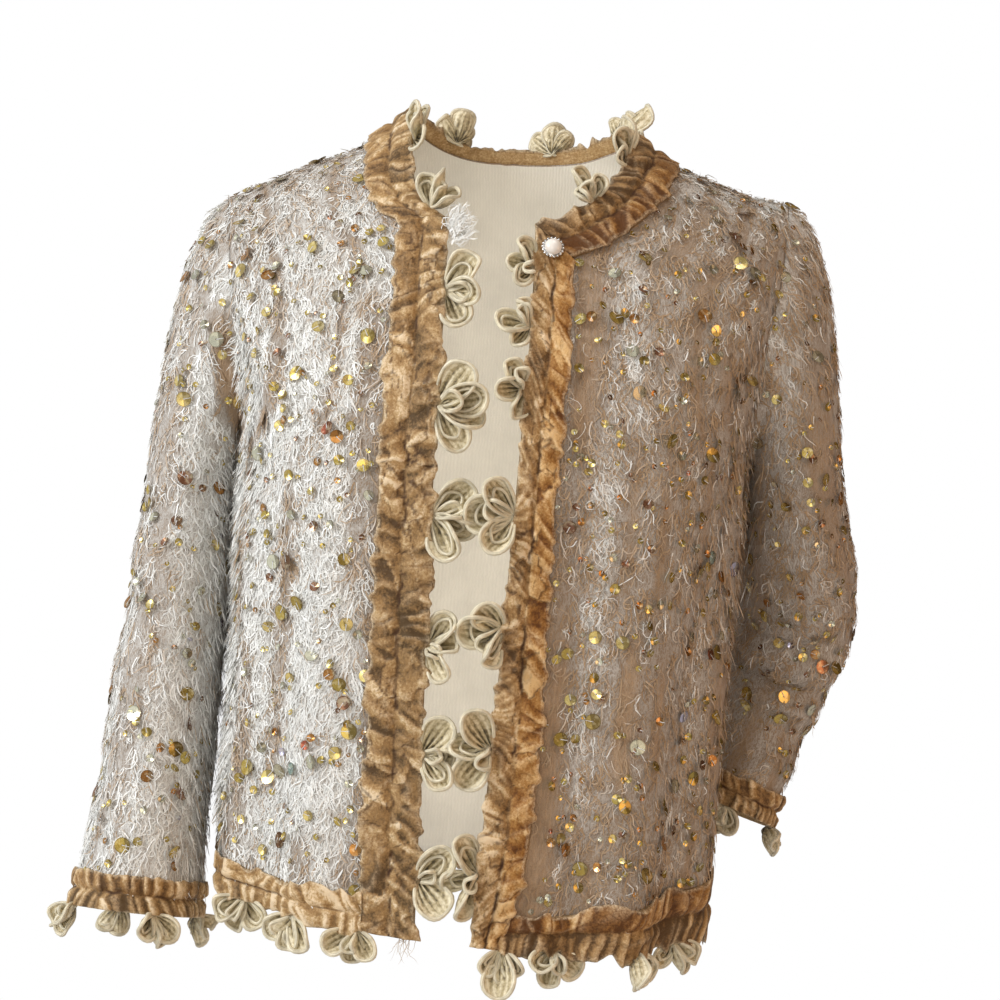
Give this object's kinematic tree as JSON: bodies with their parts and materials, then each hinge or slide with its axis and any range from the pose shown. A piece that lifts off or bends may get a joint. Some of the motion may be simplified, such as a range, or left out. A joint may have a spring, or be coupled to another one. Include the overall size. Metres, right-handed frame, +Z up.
{
  "type": "cropped sequin blazer",
  "caption": "Cropped open-front jacket of fringed, sequinned cloth, with gathered velvet ribbon on every edge, looped-braid flowers that stand out past it and a pearl button, worn form",
  "frame": {"origin": "the middle of the neck, level with the shoulder seams where they meet the neckline, where the wearer's shoulders carry the jacket", "axes": "+Z up, the open front faces -Y, the wearer's left is +X"},
  "size_m": [0.5552, 0.2911, 0.6025],
  "materials": {
    "cloth": "sheer ribbed cloth with rows of shiny white eyelash fringe and scattered gold sequins",
    "velvet": "crushed ochre velvet, gathered down its middle",
    "braid": "champagne satin cord round olive-gold cloth",
    "button_pearl": "pearl lustre",
    "button_metal": "polished, beaded with small stones"
  },
  "bodies": {
    "root": {"front_right": "cloth", "front_left": "cloth", "back": "cloth", "sleeve_right": "cloth", "sleeve_left": "cloth", "velvet_front_right": "velvet", "velvet_front_left": "velvet", "velvet_neck": "velvet", "velvet_hem": "velvet", "velvet_cuff_right": "velvet", "velvet_cuff_left": "velvet", "flower_front_right_1": "braid", "flower_front_right_2": "braid", "flower_front_right_3": "braid", "flower_front_right_4": "braid", "flower_front_right_5": "braid", "flower_front_right_6": "braid", "flower_front_left_1": "braid", "flower_front_left_2": "braid", "flower_front_left_3": "braid", "flower_front_left_4": "braid", "flower_front_left_5": "braid", "flower_front_left_6": "braid", "flower_front_left_7": "braid", "flower_neck_1": "braid", "flower_neck_2": "braid", "flower_neck_3": "braid", "flower_neck_4": "braid", "flower_neck_5": "braid", "flower_neck_6": "braid", "flower_neck_7": "braid", "flower_hem_1": "braid", "flower_hem_2": "braid", "flower_hem_3": "braid", "flower_hem_4": "braid", "flower_hem_5": "braid", "flower_hem_6": "braid", "flower_hem_7": "braid", "flower_hem_8": "braid", "flower_hem_9": "braid", "flower_hem_10": "braid", "flower_hem_11": "braid", "flower_hem_12": "braid", "flower_hem_13": "braid", "flower_hem_14": "braid", "flower_hem_15": "braid", "flower_hem_16": "braid", "flower_cuff_right_1": "braid", "flower_cuff_right_2": "braid", "flower_cuff_right_3": "braid", "flower_cuff_right_4": "braid", "flower_cuff_left_1": "braid", "flower_cuff_left_2": "braid", "flower_cuff_left_3": "braid", "flower_cuff_left_4": "braid", "button_cup": "button_metal", "button_pearl": "button_pearl"}
  },
  "joints": []
}
